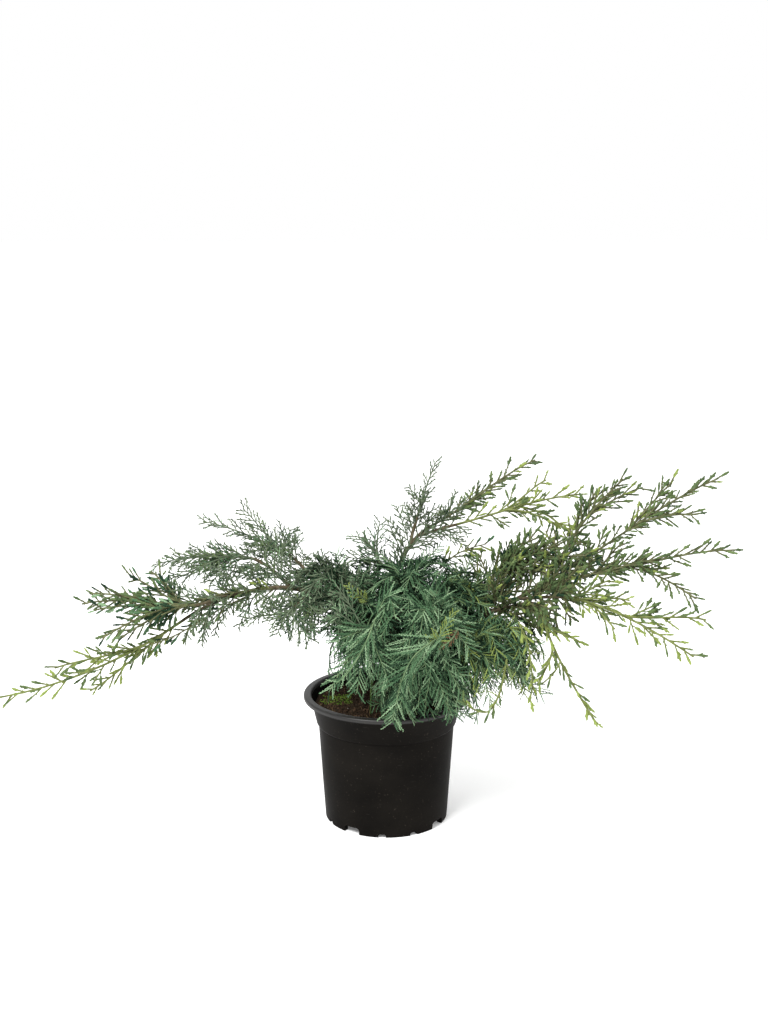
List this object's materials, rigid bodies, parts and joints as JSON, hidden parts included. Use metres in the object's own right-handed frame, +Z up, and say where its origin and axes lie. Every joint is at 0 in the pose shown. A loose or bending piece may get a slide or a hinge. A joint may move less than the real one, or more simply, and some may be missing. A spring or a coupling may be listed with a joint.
{
  "type": "potted hetzii juniper",
  "caption": "Spreading juniper shrub with long arching boughs of feathery evergreen foliage, in a round black nursery pot with a stepped collar and a notched foot.",
  "frame": {"origin": "on the pot's axis at its flat underside, at mount base", "axes": "+Z up; +X to the plant's right and -X along its longest bough; +Y to its back"},
  "size_m": [0.784, 0.376, 0.4076],
  "materials": {
    "dark_plastic": "satin",
    "potting_soil": "matte",
    "trunk_bark": "matte",
    "bough_bark": "matte",
    "blue_green_foliage": "matte",
    "grey_green_foliage": "matte",
    "olive_foliage": "matte",
    "yellow_green_foliage": "matte"
  },
  "bodies": {
    "root": {"back_bough": "bough_bark", "back_foliage": "blue_green_foliage", "back_left_bough": "bough_bark", "back_left_foliage": "blue_green_foliage", "back_right_bough": "bough_bark", "back_right_foliage": "blue_green_foliage", "crown_bough": "bough_bark", "crown_left_bough": "bough_bark", "crown_left_foliage": "blue_green_foliage", "crown_right_bough": "bough_bark", "crown_right_foliage": "blue_green_foliage", "crown_top_foliage": "blue_green_foliage", "front_bough": "bough_bark", "front_foliage": "blue_green_foliage", "front_left_bough": "bough_bark", "front_left_foliage": "blue_green_foliage", "front_right_bough": "bough_bark", "front_right_foliage": "blue_green_foliage", "left_bough": "bough_bark", "left_fore_bough": "bough_bark", "left_fore_foliage": "grey_green_foliage", "left_tip_foliage": "yellow_green_foliage", "left_top_bough": "bough_bark", "left_top_foliage": "grey_green_foliage", "left_under_bough": "bough_bark", "left_under_foliage": "blue_green_foliage", "left_upper_bough": "bough_bark", "left_upper_foliage": "grey_green_foliage", "low_right_bough": "bough_bark", "low_right_foliage": "blue_green_foliage", "pot": "dark_plastic", "potting_soil": "potting_soil", "rear_bough": "bough_bark", "rear_inner_bough": "bough_bark", "rear_inner_foliage": "blue_green_foliage", "rear_side_bough": "bough_bark", "rear_side_foliage": "yellow_green_foliage", "rear_tip_foliage": "olive_foliage", "rear_upright_bough": "bough_bark", "rear_upright_foliage": "olive_foliage", "right_bough": "bough_bark", "right_hanging_bough": "bough_bark", "right_hanging_foliage": "yellow_green_foliage", "right_inner_bough": "bough_bark", "right_inner_foliage": "blue_green_foliage", "right_outer_bough": "bough_bark", "right_outer_foliage": "olive_foliage", "right_tip_foliage": "olive_foliage", "right_top_bough": "bough_bark", "right_top_foliage": "olive_foliage", "right_trailing_bough": "bough_bark", "right_trailing_foliage": "yellow_green_foliage", "trunk": "trunk_bark"}
  },
  "joints": []
}
